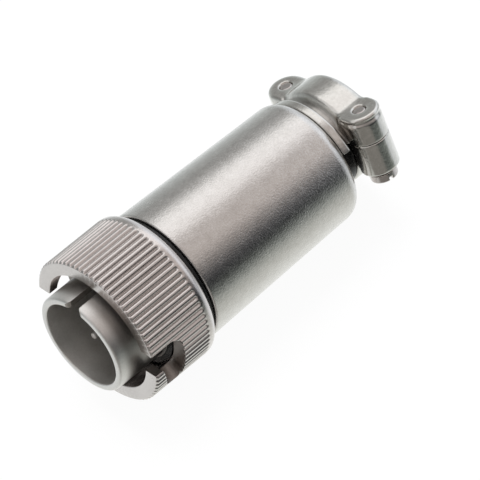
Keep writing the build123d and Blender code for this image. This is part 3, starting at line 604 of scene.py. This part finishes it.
def cut(piece, cutter):
    """Cuts one piece out of another and throws the cutter away."""
    modifier = piece.modifiers.new("cut", "BOOLEAN")
    modifier.operation, modifier.solver, modifier.object = "DIFFERENCE", "EXACT", cutter
    modifier.material_mode = "TRANSFER"
    settled(piece)
    bpy.data.objects.remove(cutter)
    return piece


def triangles(piece):
    piece.data.calc_loop_triangles()
    return len(piece.data.loop_triangles)


def finish_piece(piece, body, slot, *nodes):
    """Says which body a piece moves with and which solids it replaces; the slot argument is not used."""
    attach(piece, body)
    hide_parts(*nodes)
    print(f"{piece.name}: {triangles(piece)} triangles")


# %% [markdown]
# ## Back shell
#
# The long tapered shell is the largest surface and shows the bead-blasted grain. Its rear edge is
# rounded and catches the light. A round arc there would spread the highlight, so the shoulder is a
# quarter of an ellipse. The spigot and the thread bore run forward inside the coupling ring.

# %% Back shell
SHELL_FRONT, SHELL_REAR = 16.72, 47.15
SHELL_FRONT_RADIUS, SHELL_REAR_RADIUS = 10.95, 10.2
SPIGOT_FRONT, SPIGOT_RADIUS = 14.45, 9.6
BARREL_REAR = 21.45
THREAD_BORE, WIRING_BORE = 8.15, 9.2
GLAND_BORE_FRONT, GLAND_BORE = 37.15, 7.6
GLAND_LIP, GLAND_LIP_THICKNESS = 6.2, 1.2
BORE_CHAMFER, FRONT_ROUND, REAR_EDGE_ROUND = 0.3, 0.3, 0.1
REAR_ROUND_LENGTH, REAR_ROUND_DEPTH, REAR_STEPS = 1.85, 1.15, 14

shoulder_start = SHELL_REAR - REAR_ROUND_LENGTH
taper = (SHELL_FRONT_RADIUS - SHELL_REAR_RADIUS) / (SHELL_REAR - SHELL_FRONT)
shoulder_radius = SHELL_REAR_RADIUS + REAR_ROUND_LENGTH * taper
turns = [pi / 2 * (1 - step / REAR_STEPS) for step in range(REAR_STEPS + 1)]
shoulder = [(shoulder_start + REAR_ROUND_LENGTH * sin(turn),
             shoulder_radius - REAR_ROUND_DEPTH * (1 - cos(turn))) for turn in turns]
lip_front = GLAND_BORE_FRONT - GLAND_LIP_THICKNESS
inside_of_shell = [
    (SPIGOT_FRONT, THREAD_BORE), (BARREL_REAR, THREAD_BORE),
    (BARREL_REAR + WIRING_BORE - THREAD_BORE, WIRING_BORE), (lip_front, WIRING_BORE),
    (lip_front, GLAND_LIP), (GLAND_BORE_FRONT, GLAND_LIP), (GLAND_BORE_FRONT, GLAND_BORE),
    (SHELL_REAR - BORE_CHAMFER, GLAND_BORE), (SHELL_REAR, GLAND_BORE + BORE_CHAMFER),
]
outside_of_shell = shoulder + [(SHELL_FRONT, SHELL_FRONT_RADIUS), (SHELL_FRONT, SPIGOT_RADIUS),
                               (SPIGOT_FRONT, SPIGOT_RADIUS)]
shell_outline = round_outline(inside_of_shell + outside_of_shell,
                              {len(inside_of_shell) - 1: REAR_EDGE_ROUND,
                               len(inside_of_shell) + len(shoulder): FRONT_ROUND})
back_shell = spun("back_shell_skin", shell_outline, blasted_nickel)
finish_piece(back_shell, "plug", "shell_nickel", "back_shell")

# %% [markdown]
# ## Copies around the axis
#
# The knurl and the bayonet slots both repeat about the plug's axis. Array modifiers could copy them about
# a turned empty, but one Geometry Nodes tree does it with its count, turn and material as named inputs.
# It puts a number of points on the axis, places the incoming shape on each point with one more turn, and
# joins the copies into one mesh.

# %% A tree that repeats a shape about the axis
def copies_tree():
    tree = bpy.data.node_groups.new("copies_about_axis", "GeometryNodeTree")
    for label, kind in (("Geometry", "NodeSocketGeometry"), ("Count", "NodeSocketInt"),
                        ("First Turn", FLOAT), ("Merge Distance", FLOAT),
                        ("Material", "NodeSocketMaterial")):
        tree.interface.new_socket(label, in_out="INPUT", socket_type=kind)
    tree.interface.new_socket("Geometry", in_out="OUTPUT", socket_type="NodeSocketGeometry")
    given, result = tree.nodes.new("NodeGroupInput").outputs, tree.nodes.new("NodeGroupOutput").inputs
    points = add_node(tree, "GeometryNodePoints", Count=given["Count"]).outputs[0]
    number = add_node(tree, "GeometryNodeInputIndex").outputs[0]
    step = math_node(tree, "DIVIDE", -2 * pi, given["Count"])
    angle = math_node(tree, "SUBTRACT", math_node(tree, "MULTIPLY", number, step), given["First Turn"])
    rotation = add_node(tree, "ShaderNodeCombineXYZ", X=angle).outputs[0]
    placed = add_node(tree, "GeometryNodeInstanceOnPoints", Points=points, Instance=given["Geometry"],
                      Rotation=rotation).outputs[0]
    real = add_node(tree, "GeometryNodeRealizeInstances", Geometry=placed).outputs[0]
    merged = add_node(tree, "GeometryNodeMergeByDistance", Geometry=real,
                      Distance=given["Merge Distance"]).outputs[0]
    painted = add_node(tree, "GeometryNodeSetMaterial", Geometry=merged,
                       Material=given["Material"]).outputs[0]
    link(tree, painted, result["Geometry"])
    return tree


COPIES = copies_tree()
NO_MERGE = 1e-9


def repeat(piece, count, first_turn, material, merge=NO_MERGE):
    """Runs the tree on a piece; the turn is counted from +Z towards +Y, in degrees."""
    modifier = piece.modifiers.new("copies", "NODES")
    modifier.node_group = COPIES
    wanted = {"Count": count, "First Turn": radians(first_turn), "Merge Distance": merge,
              "Material": material}
    for item in COPIES.interface.items_tree:
        if item.in_out == "INPUT" and item.name in wanted:
            modifier[item.identifier] = wanted[item.name]
    return settled(piece)


print("made", COPIES.name, "with", len(COPIES.nodes), "nodes")

# %% [markdown]
# ## Coupling ring
#
# The ring is turned, knurled with a straight tool, and milled with two L-shaped bayonet slots. A bump map
# could fake the knurl, but its ridges show at the ring's edges. So one pitch of it is drawn as a narrow
# slice of the whole ring: a lathe profile, pushed inwards where the groove runs. Copies of the slice
# close the ring. The slots are then cut through the wall, and their faces take a darker, rougher finish.

# %% One pitch of the knurl
RING_FRONT, RING_REAR, RING_RADIUS, RING_BORE = 3.3, 15.6, 12.24, 9.8
WEB_FRONT, WEB_REAR, WEB_BORE = 10.85, 13.85, 8.26
LIP_RADIUS, LIP_LENGTH, LIP_ROUND = 11.4, 0.42, 1.45
KNURL_COUNT, KNURL_FLANK, KNURL_CREST, KNURL_END = 74, radians(50), 0.44, 14.0
KNURL_TURN, CREST_ROUND = -0.44, 0.16
PITCH = 2 * pi * RING_RADIUS / KNURL_COUNT
HALF_MOUTH = (PITCH - KNURL_CREST) / 2


def groove_depth(distance):
    """Depth of the groove at a distance from its middle: a sharp bottom, flat flanks, a rounded crest."""
    inside = HALF_MOUTH - abs(distance)
    if inside > CREST_ROUND:
        return inside * tan(KNURL_FLANK)
    return max(0, inside + CREST_ROUND) ** 2 / (4 * CREST_ROUND) * tan(KNURL_FLANK)


KNURL_DEPTH = groove_depth(0)
print("knurl pitch", round(PITCH, 3), "mm, groove depth", round(KNURL_DEPTH, 3), "mm")

# %% The slice and the knurled ring
RING_CHAMFER, EDGE_ROUND, MOUTH_ROUND = 0.3, 0.1, 0.15
RUN_OUT_SHARES = (0, 0.15, 0.35, 0.6, 0.8, 1, 1.2)
ROW_PLACES, SLICE_MERGE = [11.0, 8.0, 5.5, 4.0], 2e-6
LENGTHWISE = [KNURL_END - KNURL_DEPTH * share for share in RUN_OUT_SHARES] + ROW_PLACES
PITCH_SHARES = (0, 0.22, 0.4, 0.46, 0.52, 0.58, 0.64, 0.70, 0.76, 0.88, 1)
ring_outline = round_outline(
    [
        (RING_FRONT, RING_BORE), (WEB_FRONT, RING_BORE), (WEB_FRONT, WEB_BORE), (WEB_REAR, WEB_BORE),
        (WEB_REAR, RING_BORE), (RING_REAR, RING_BORE), (RING_REAR, LIP_RADIUS),
        (RING_REAR - LIP_LENGTH, RING_RADIUS), *[(x, RING_RADIUS) for x in LENGTHWISE],
        (RING_FRONT + RING_CHAMFER, RING_RADIUS), (RING_FRONT, RING_RADIUS - RING_CHAMFER),
    ],
    {0: MOUTH_ROUND, 5: EDGE_ROUND, 6: MOUTH_ROUND, 7: LIP_ROUND, 8 + len(LENGTHWISE): EDGE_ROUND,
     9 + len(LENGTHWISE): EDGE_ROUND})
half_pitch = [PITCH / 2 * share for share in PITCH_SHARES]
column_places = [-place for place in reversed(half_pitch)] + half_pitch[1:]
slice_vertices, slice_faces = [], []
for place_across in column_places:
    angle = place_across / RING_RADIUS
    for x, radius in ring_outline:
        run_out = min(1, max(0, (KNURL_END - x) / KNURL_DEPTH))
        deep = min(radius, RING_RADIUS - groove_depth(place_across) * run_out)
        slice_vertices.append((x, deep * sin(angle), deep * cos(angle)))
row = len(ring_outline)
for column in range(len(column_places) - 1):
    for number in range(row):
        after = (number + 1) % row
        slice_faces.append((column * row + number, column * row + after,
                            (column + 1) * row + after, (column + 1) * row + number))
coupling_ring = mesh_object("coupling_ring_skin", slice_vertices, slice_faces, ring_nickel)
repeat(coupling_ring, KNURL_COUNT, KNURL_TURN, ring_nickel, merge=SLICE_MERGE)
print("the knurled ring has", triangles(coupling_ring), "triangles before the slots")

# %% Cutters for the slots
def prism_faces(count):
    """The two end faces and the sides between two outlines of count points."""
    ends = [tuple(range(count)), tuple(range(2 * count - 1, count - 1, -1))]
    return ends + [(n, count + n, count + (n + 1) % count, (n + 1) % count) for n in range(count)]


def prism(name, outline, inner, outer, angle):
    """Extrudes a closed (x, sideways) outline along the radius at an angle from +Z towards +Y."""
    vertices = [(x, side * cos(angle) + radius * sin(angle), radius * cos(angle) - side * sin(angle))
                for radius in (inner, outer) for x, side in outline]
    return tidy_mesh(mesh_object(name, vertices, prism_faces(len(outline)), slot_nickel))


def wrapped_prism(name, outline, inner, outer):
    """The same, with the outline's second value an angle about the axis in degrees."""
    vertices = [(x, radius * sin(radians(turn)), radius * cos(radians(turn)))
                for radius in (inner, outer) for x, turn in outline]
    form = mesh_object(name, vertices, prism_faces(len(outline)), slot_nickel)
    triangulate = form.modifiers.new("triangles", "TRIANGULATE")
    triangulate.min_vertices = 5
    return settled(form)


# %% The two bayonet slots
SLOT_REAR, SLOT_ENTRY, ENTRY_SIDES = 9.0, -84.3, (-1.8, 2.15)
LEG_FRONT, LEG_SWEEP = 5.75, 36.0
TONGUE_TIP, TONGUE_RAMP = 1.4, 4.4
ENTRY_CORNER, LEG_CORNER, CORNER_STEPS, LEG_STEPS = 1.9, 1.5, 8, 12
CUT_INNER, CUT_OUTER, CUT_MARGIN, OVERLAP = 9.0, 14.0, 3.0, 1.0

leg_side, far_side = ENTRY_SIDES
entry_outline = [(RING_FRONT - CUT_MARGIN, leg_side), (SLOT_REAR, leg_side), (SLOT_REAR, far_side),
                 (RING_FRONT - CUT_MARGIN, far_side)]
entry_outline = round_outline(entry_outline, {2: ENTRY_CORNER}, steps=10)
entry = prism("slot_entry", entry_outline, CUT_INNER, CUT_OUTER, radians(SLOT_ENTRY))
corner_turn = degrees(LEG_CORNER / RING_RADIUS)
corner_start = SLOT_ENTRY - LEG_SWEEP + corner_turn
along_leg = [SLOT_ENTRY + (corner_start - SLOT_ENTRY) * step / LEG_STEPS for step in range(LEG_STEPS)]
bends = [pi / 2 * step / CORNER_STEPS for step in range(CORNER_STEPS + 1)]
leg_outline = [(SLOT_REAR, turn) for turn in along_leg]
leg_outline += [(SLOT_REAR - LEG_CORNER * (1 - cos(bend)), corner_start - corner_turn * sin(bend))
                for bend in bends]
leg_outline += [(LEG_FRONT + LEG_CORNER * (1 - sin(bend)), corner_start - corner_turn * cos(bend))
                for bend in bends]
leg_outline += [(LEG_FRONT, turn) for turn in reversed(along_leg)]
leg = wrapped_prism("slot_leg", leg_outline, CUT_INNER, CUT_OUTER)
ramp_turn = radians(SLOT_ENTRY) + leg_side / RING_RADIUS
tip = RING_FRONT + TONGUE_TIP
ramp_outline = [(tip, OVERLAP), (tip, 0), (LEG_FRONT, -TONGUE_RAMP),
                (LEG_FRONT + OVERLAP, -TONGUE_RAMP), (LEG_FRONT + OVERLAP, OVERLAP)]
ramp = prism("slot_ramp", ramp_outline, CUT_INNER, CUT_OUTER, ramp_turn)
for cutter in (entry, leg, ramp):
    repeat(cutter, 2, 0, slot_nickel)
    cut(coupling_ring, cutter)
finish_piece(coupling_ring, "ring", "ring_nickel", "coupling_ring")

# %% [markdown]
# ## Plug barrel
#
# The bare barrel in front of the ring carries a keyway cut through its wall and open at the rim. It could
# be modelled flat and bent round, but it is simpler to spin it like the shell and to cut the keyway with
# one extruded outline.

# %% Plug barrel
BARREL_RADIUS, BARREL_BORE, BARREL_DEPTH = 8.2, 7.05, 9.9
FLANGE_RADIUS, FLANGE_REAR, INSERT_BORE, SHELL_THREAD = 9.5, 10.7, 7.35, 8.1
GASKET_SEAT, GASKET_SEAT_FRONT = 8.5, 8.9
KEYWAY_HALF, KEYWAY_LENGTH, KEYWAY_CORNER, KEYWAY_TURN = 0.95, 8.0, 0.75, 4.0
KEYWAY_END_ROUND, KEYWAY_RUN_OUT, KEYWAY_EASE, KEYWAY_INNER, KEYWAY_OUTER = 0.87, 1.0, 0.02, 0.0, 12.0
BORE_ROUND, RIM_ROUND = 0.2, 0.45

barrel_outline = [
    (0, BARREL_BORE), (BARREL_DEPTH, BARREL_BORE), (BARREL_DEPTH, INSERT_BORE),
    (BARREL_REAR, INSERT_BORE), (BARREL_REAR, SHELL_THREAD), (SPIGOT_FRONT, SHELL_THREAD),
    (SPIGOT_FRONT, BARREL_RADIUS), (FLANGE_REAR, BARREL_RADIUS), (FLANGE_REAR, FLANGE_RADIUS),
    (BARREL_DEPTH, FLANGE_RADIUS), (BARREL_DEPTH, GASKET_SEAT), (GASKET_SEAT_FRONT, GASKET_SEAT),
    (GASKET_SEAT_FRONT, BARREL_RADIUS), (0, BARREL_RADIUS),
]
rim_rounds = {0: BORE_ROUND, len(barrel_outline) - 1: RIM_ROUND}
barrel = spun("plug_barrel_skin", round_outline(barrel_outline, rim_rounds), barrel_nickel)
keyway_mouth = KEYWAY_HALF + KEYWAY_CORNER + KEYWAY_EASE
key_outline = round_outline(
    [(-KEYWAY_RUN_OUT, -keyway_mouth), (0, -keyway_mouth), (0, -KEYWAY_HALF), (KEYWAY_LENGTH, -KEYWAY_HALF),
     (KEYWAY_LENGTH, KEYWAY_HALF), (0, KEYWAY_HALF), (0, keyway_mouth), (-KEYWAY_RUN_OUT, keyway_mouth)],
    {2: KEYWAY_CORNER, 3: KEYWAY_END_ROUND, 4: KEYWAY_END_ROUND, 5: KEYWAY_CORNER}, steps=8)
cut(barrel, prism("keyway", key_outline, KEYWAY_INNER, KEYWAY_OUTER, radians(KEYWAY_TURN)))
finish_piece(barrel, "plug", "cast_nickel", "plug_shell")

# %% [markdown]
# ## Black seals
#
# A glossy black ring fills the gap between the coupling ring and the back shell, and a rubber sleeve
# covers the neck between the back shell and the clamp. The CAD solids could stay, but their corners are
# hard. Both are plain rings with soft corners, so they are spun like the shell.

# %% Neck seal and neck sleeve
# Each ring is given by its front, rear, bore, radius and edge round.
NECK_SEAL = (RING_REAR + 0.15, SHELL_FRONT - 0.05, 9.65, 10.5, 0.3)
NECK_SLEEVE = (SHELL_REAR + 0.05, 50.4, 5.35, 6.4, 0.2)


def rubber_ring(name, front, rear, bore, radius, edge):
    """A ring with a rectangular section whose two outer corners are round."""
    corners = [(front, bore), (rear, bore), (rear, radius), (front, radius)]
    return spun(name, round_outline(corners, {2: edge, 3: edge}), black_rubber)


finish_piece(rubber_ring("neck_seal_skin", *NECK_SEAL), "plug", "black_rubber", "neck_seal_ring")
finish_piece(rubber_ring("neck_sleeve_skin", *NECK_SLEEVE), "plug", "black_rubber", "neck_sleeve")

# %% [markdown]
# ## Cable clamp
#
# The clamp's two halves are die-cast, with soft fillets everywhere. The CAD solids have the right forms
# but hard corners. A copy of each is merged, rebuilt from tiny voxels and smoothed, which rounds every
# edge by about the same amount, as a casting is. The upper half is softer still where its ears run into
# the arch and on its far ear. A vertex group asks for more smoothing there, and for none at the parting
# face, the holes and the near ear's rim.

# %% Places on the clamp
CLAMP_LEAN = radians(21.0)
EAR_X, EAR_SIDE, PARTING = 52.875, 8.3, 2.5
FLANGE_END, ARCH_START = 48.65, 50.45


def rise(value, low, high):
    """A share from 0 at low to 1 at high."""
    return min(1.0, max(0.0, (value - low) / (high - low)))


def in_clamp(point):
    """A mesh point as millimetres along the plug, across the clamp and up in it."""
    x, y, z = (value / MM for value in point)
    return x, y * cos(CLAMP_LEAN) - z * sin(CLAMP_LEAN), y * sin(CLAMP_LEAN) + z * cos(CLAMP_LEAN)


def from_clamp(x, across, up):
    """The other way round: a mesh point from places in the clamp."""
    return Vector((x, across * cos(CLAMP_LEAN) + up * sin(CLAMP_LEAN),
                   up * cos(CLAMP_LEAN) - across * sin(CLAMP_LEAN))) * MM


near_hole = [round(value / MM, 2) for value in from_clamp(EAR_X, -EAR_SIDE, PARTING)]
print("the near ear's hole meets the parting face at", near_hole, "mm")

# %% Where the upper half is softer, and the undercut
# Each pair gives the distance at which a share is 0 and the one at which it is 1.
SOFT_FRONT, SOFT_HEIGHT = (FLANGE_END + 0.2, ARCH_START - 0.2), (PARTING + 0.3, PARTING + 1.8)
HOLE_GUARD, BORE_GUARD = (1.15, 1.6), (5.8, 7.0)
RIM_START, RIM_SIDE = (2.2, 2.6), (6.4, 7.2)
UNDERCUT_DEPTH, UNDERCUT_HEIGHT = 0.30, (5.6, 6.8)
WALL_START, WALL_REACH = (9.3, 9.7), (2.0, 2.6)


def softness(point):
    """How much a point of the upper half is smoothed, from 0 to 1."""
    x, across, up = in_clamp(point)
    away_from_hole = Vector((x - EAR_X, abs(across) - EAR_SIDE)).length
    from_axis = Vector((across, up)).length
    near_rim = rise(away_from_hole, *RIM_START) * rise(-across, *RIM_SIDE)
    return (rise(x, *SOFT_FRONT) * rise(up, *SOFT_HEIGHT) * rise(away_from_hole, *HOLE_GUARD)
            * (1 - near_rim) * rise(from_axis, *BORE_GUARD))


def undercut(piece):
    """Draws the near ear's wall in a little, just under its top plate."""
    for vertex in piece.data.vertices:
        x, across, up = in_clamp(vertex.co)
        inward = Vector((EAR_X - x, max(0, -across - EAR_SIDE)))
        outside = rise(Vector((across, up)).length, *WALL_START) * rise(inward.length, *WALL_REACH)
        height = rise(up, *UNDERCUT_HEIGHT)
        if across < 0 and outside and 0 < height < 1:
            step = inward.normalized() * UNDERCUT_DEPTH * outside * sin(pi * height ** 2)
            vertex.co = from_clamp(x + step.x, across + step.y, up)


# %% Casting a copy of a solid
CAST_VOXEL, CAST_ROUNDS, SOFT_ROUNDS = 0.13, 6, 200
SMOOTH_FACTOR, THIN_SHARE = 0.5, 0.5


def cast_copy(name, node, material, voxel=CAST_VOXEL, rounds=CAST_ROUNDS):
    """A copy of a CAD solid with every edge a little rounded."""
    piece = bpy.data.objects.new(name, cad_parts[node].data.copy())
    bpy.context.scene.collection.objects.link(piece)
    piece.data.materials.clear()
    piece.data.materials.append(material)
    old_normals = piece.data.attributes.get("custom_normal")
    if old_normals:
        piece.data.attributes.remove(old_normals)
    tidy_mesh(piece)
    remesh = piece.modifiers.new("voxels", "REMESH")
    remesh.mode, remesh.voxel_size, remesh.use_smooth_shade = "VOXEL", voxel * MM, True
    smooth = piece.modifiers.new("soften", "SMOOTH")
    smooth.factor, smooth.iterations = SMOOTH_FACTOR, rounds
    return settled(piece)


def soften(piece):
    """Smooths a piece once more, by each point's softness."""
    soft = piece.vertex_groups.new(name="soft")
    for vertex in piece.data.vertices:
        soft.add([vertex.index], softness(vertex.co), "REPLACE")
    smooth = piece.modifiers.new("soften_more", "SMOOTH")
    smooth.factor, smooth.iterations, smooth.vertex_group = SMOOTH_FACTOR, SOFT_ROUNDS, soft.name
    settled(piece)
    piece.vertex_groups.clear()


def thin_out(piece):
    """Drops the triangles that the smoothed surface doesn't need."""
    thin = piece.modifiers.new("thin", "DECIMATE")
    thin.ratio = THIN_SHARE
    settled(piece)
    piece.data.set_sharp_from_angle(angle=pi)


# %% The two clamp halves
clamp_lower = cast_copy("clamp_body_casting", "clamp_body", cast_nickel)
thin_out(clamp_lower)
finish_piece(clamp_lower, "plug", "cast_nickel", "clamp_body")
clamp_upper = cast_copy("clamp_saddle_casting", "clamp_saddle", cast_nickel)
soften(clamp_upper)
undercut(clamp_upper)
thin_out(clamp_upper)
finish_piece(clamp_upper, "saddle", "cast_nickel", "clamp_saddle")

# %% [markdown]
# ## Clamp screws and lock washers
#
# The two slotted screws and their split washers are rebuilt from voxels in the same way, with finer ones.
# The head is spread a little to the width it shows, and the shank gets its thread: each point of it is
# drawn in by a wave that climbs one pitch in one turn. A modelled spiral would be sharper, but the thread
# only shows when the saddle is lifted.

# %% Screws and washers
FINE_VOXEL, FINE_ROUNDS = 0.075, 3
HEAD_SEAT, HEAD_SPREAD, WASHER_SPREAD = -3.55, 1.13, 1.08
THREAD_PITCH, THREAD_DEPTH, THREAD_START, THREAD_END, THREAD_ROOT = 0.4, 0.16, -3.2, 6.8, 0.8


def reshape_screw(piece, side):
    """Widens the head and draws the thread into the shank; side tells which ear the screw is in."""
    for vertex in piece.data.vertices:
        x, across, up = in_clamp(vertex.co)
        arm = Vector((x - EAR_X, across - side * EAR_SIDE))
        if up < HEAD_SEAT:
            arm *= HEAD_SPREAD
        elif THREAD_START < up < THREAD_END and arm.length > THREAD_ROOT:
            wave = (up / THREAD_PITCH - atan2(arm.y, arm.x) / (2 * pi)) % 1
            arm *= 1 - THREAD_DEPTH * abs(2 * wave - 1)
        vertex.co = from_clamp(EAR_X + arm.x, side * EAR_SIDE + arm.y, up)


def widen(piece, side, share):
    """Widens a washer about its screw."""
    middle = side * EAR_SIDE
    for vertex in piece.data.vertices:
        x, across, up = in_clamp(vertex.co)
        vertex.co = from_clamp(EAR_X + (x - EAR_X) * share, middle + (across - middle) * share, up)


for number, side in ((1, 1), (2, -1)):
    screw = cast_copy(f"clamp_screw_{number}_skin", f"clamp_screw_{number}", plated_steel, FINE_VOXEL,
                      FINE_ROUNDS)
    reshape_screw(screw, side)
    finish_piece(screw, f"screw_{number}", "plated_steel", f"clamp_screw_{number}")
    washer = cast_copy(f"lock_washer_{number}_skin", f"lock_washer_{number}", plated_steel, FINE_VOXEL,
                       FINE_ROUNDS)
    widen(washer, side, WASHER_SPREAD)
    finish_piece(washer, "plug", "plated_steel", f"lock_washer_{number}")

# %% [markdown]
# ## The remaining CAD solids
#
# The insulators, contacts, washers, grommet and bush are simple and mostly hidden. They could be rebuilt
# too, but their CAD meshes have the right shape already, so they stay and only get a finish.

# %% Finishes for the solids that stay
FINISHES = {
    insulator_plastic: ["front_insulator", "rear_insulator"],
    black_rubber: ["interface_gasket", "cable_grommet", "clamp_bush"],
    contact_plating: [f"contact_pin_{number}" for number in range(1, 6)],
    plated_steel: ["insert_retaining_ring", "thrust_washer", "grommet_washer"],
}
for material, nodes in FINISHES.items():
    for node in nodes:
        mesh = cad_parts[node].data
        mesh.materials.clear()
        mesh.materials.append(material)
print("finished", sum(len(nodes) for nodes in FINISHES.values()), "solids that keep their shape")

# %% [markdown]
# ## The picture
#
# The Standard view shows colours as they are written, which a film-like view wouldn't.

# %% Picture settings
bpy.context.scene.view_settings.view_transform = "Standard"
bpy.context.view_layer.update()
